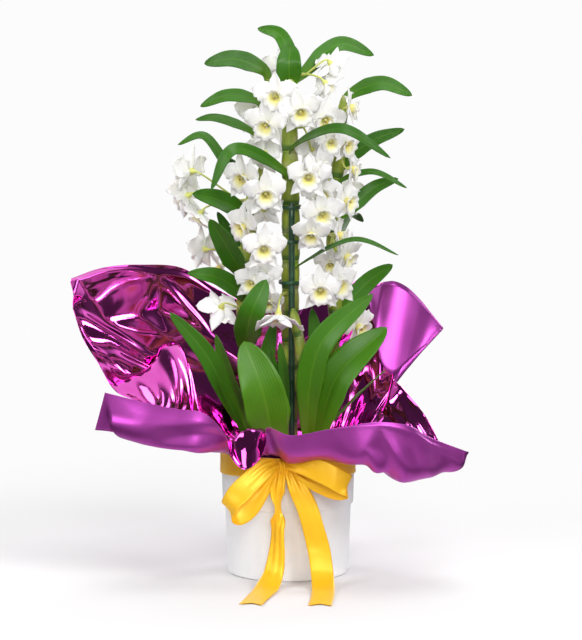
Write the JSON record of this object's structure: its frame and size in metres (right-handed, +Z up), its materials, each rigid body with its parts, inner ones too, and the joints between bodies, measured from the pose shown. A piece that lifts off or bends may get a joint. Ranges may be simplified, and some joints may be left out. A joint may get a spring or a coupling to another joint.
{
  "type": "potted dendrobium orchid",
  "caption": "Potted dendrobium orchid: tall canes of white blooms and strap leaves in a white cover pot, with a flared metallised film wrap and a yellow satin bow.",
  "frame": {"origin": "the middle of the cover pot's underside, on the surface it stands on", "axes": "+Z up through the pot, -Y towards the front with the bow, +X to the right seen from the front"},
  "size_m": [0.4295, 0.3113, 0.5939],
  "materials": {
    "pot": "white, satin",
    "grow_pot": "dark, matte",
    "bark": "rough bark chips",
    "film": "metallised film: glossy magenta inside, satin purple outside",
    "ribbon": "golden yellow satin",
    "stake": "dark green coated wire",
    "tie": "dark green",
    "leaf": "living leaf and cane, green, softly glossy",
    "bloom": "living petals, white with a pale yellow throat"
  },
  "bodies": {
    "root": {"cover_pot": "pot", "grow_pot": "grow_pot", "bark": "bark", "film_wrap": "film", "ribbon": "ribbon", "plant_stake": "stake", "tie_1": "tie", "tie_2": "tie", "tie_3": "tie", "cane_centre": "leaf", "cane_left": "leaf", "cane_right": "leaf", "shoot_left": "leaf", "shoot_front": "leaf", "shoot_right": "leaf", "spray_01": "bloom", "spray_02": "bloom", "spray_03": "bloom", "spray_04": "bloom", "spray_05": "bloom", "spray_06": "bloom", "spray_07": "bloom", "spray_08": "bloom", "spray_09": "bloom", "spray_10": "bloom", "spray_11": "bloom", "spray_12": "bloom", "spray_13": "bloom", "spray_14": "bloom", "spray_15": "bloom", "spray_16": "bloom", "spray_17": "bloom", "spray_18": "bloom", "spray_19": "bloom"}
  },
  "joints": []
}
